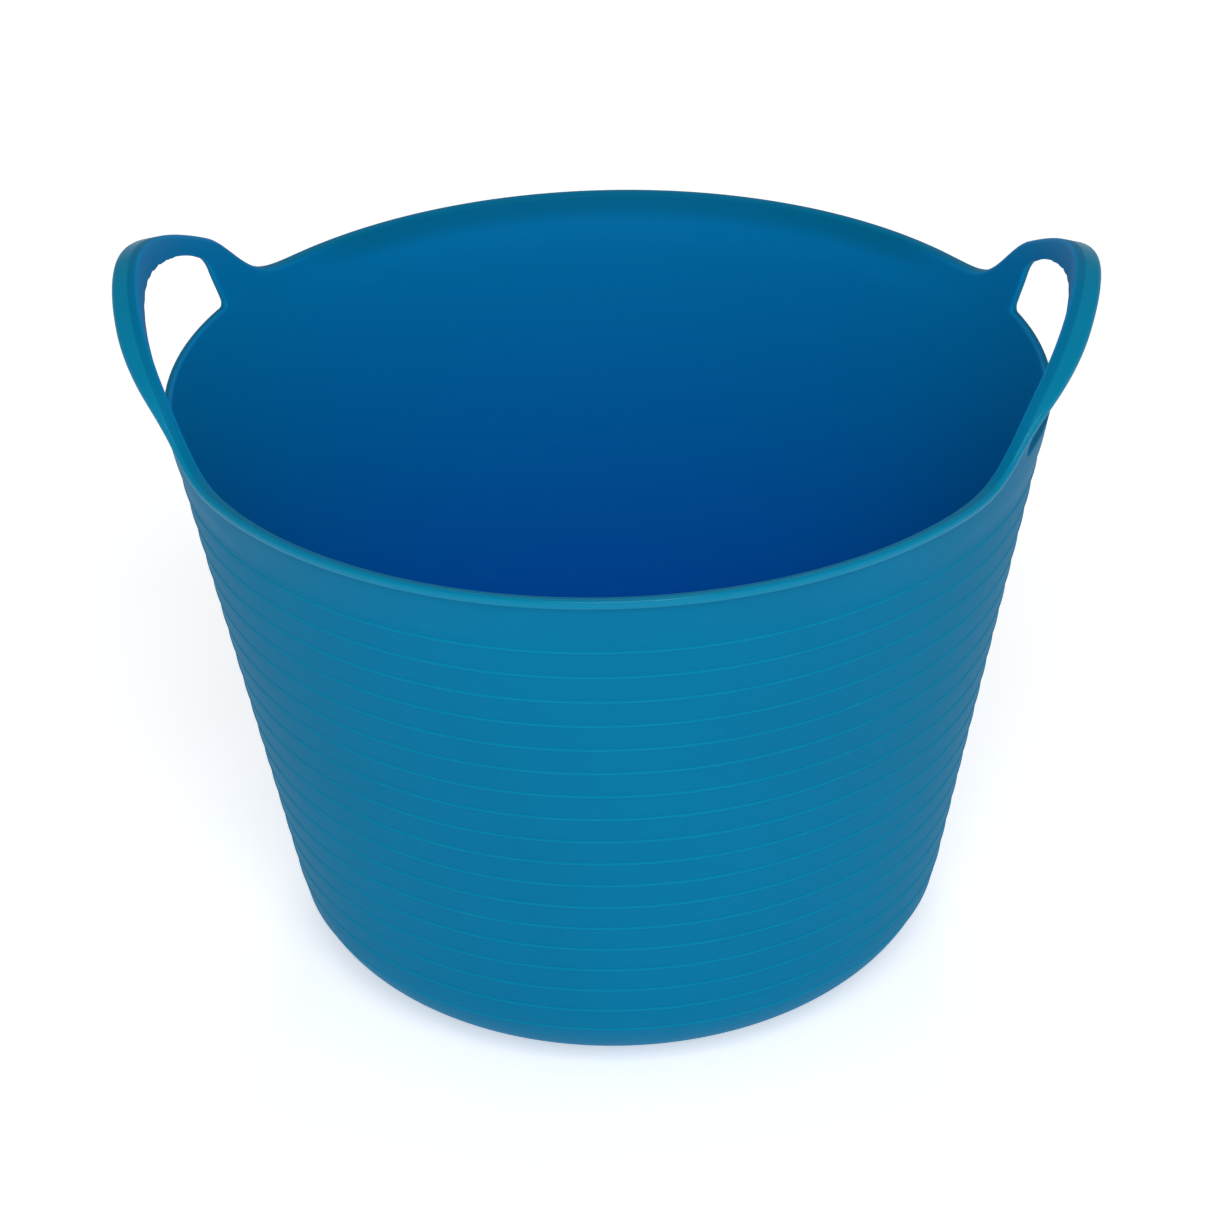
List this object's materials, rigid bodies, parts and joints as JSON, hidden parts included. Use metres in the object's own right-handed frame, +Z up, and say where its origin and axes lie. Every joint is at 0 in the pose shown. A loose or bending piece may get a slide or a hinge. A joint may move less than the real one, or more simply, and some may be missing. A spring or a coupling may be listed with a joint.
{
  "type": "flexible mixing tub",
  "caption": "Tapered round flexible tub with a beaded rim, fine ridges round its side and a flexing loop handle on each side, for mixing and carrying mortar.",
  "frame": {"origin": "centre of the circle on which the tub stands, at ground level", "axes": "+Z up out of the mouth; X runs through the two handles; Y runs across, the tub is the same on both sides"},
  "size_m": [0.488, 0.45, 0.381],
  "materials": {
    "tub_plastic": "satin low-density polyethylene, blue right through",
    "rim_plastic": "the same plastic, with a slightly smoother skin",
    "ridge_plastic": "the same plastic, rubbed slightly paler"
  },
  "bodies": {
    "tub": {"floor_panel": "tub_plastic", "foot_ring": "tub_plastic", "gate_mark": "tub_plastic", "base_corner": "tub_plastic", "side_wall": "tub_plastic", "wall_ridges": "ridge_plastic", "upper_band": "tub_plastic", "rim_front": "rim_plastic", "rim_back": "rim_plastic", "shoulder_left": "rim_plastic", "shoulder_right": "rim_plastic"},
    "handle_right": {"handle_web_right": "rim_plastic", "grip_flange_right": "rim_plastic", "grip_ribs_right": "rim_plastic"},
    "handle_left": {"handle_web_left": "rim_plastic", "grip_flange_left": "rim_plastic", "grip_ribs_left": "rim_plastic"}
  },
  "joints": [
    {"name": "handle_flex_right", "type": "hinge", "parent": "tub", "child": "handle_right", "pos_m": [0.202, 0, 0.326], "axis": [0, -1, 0], "range_deg": [-20, 40], "stiffness_Nm_per_rad": 5},
    {"name": "handle_flex_left", "type": "hinge", "parent": "tub", "child": "handle_left", "pos_m": [-0.202, 0, 0.326], "axis": [0, 1, 0], "range_deg": [-20, 40], "stiffness_Nm_per_rad": 5}
  ]
}
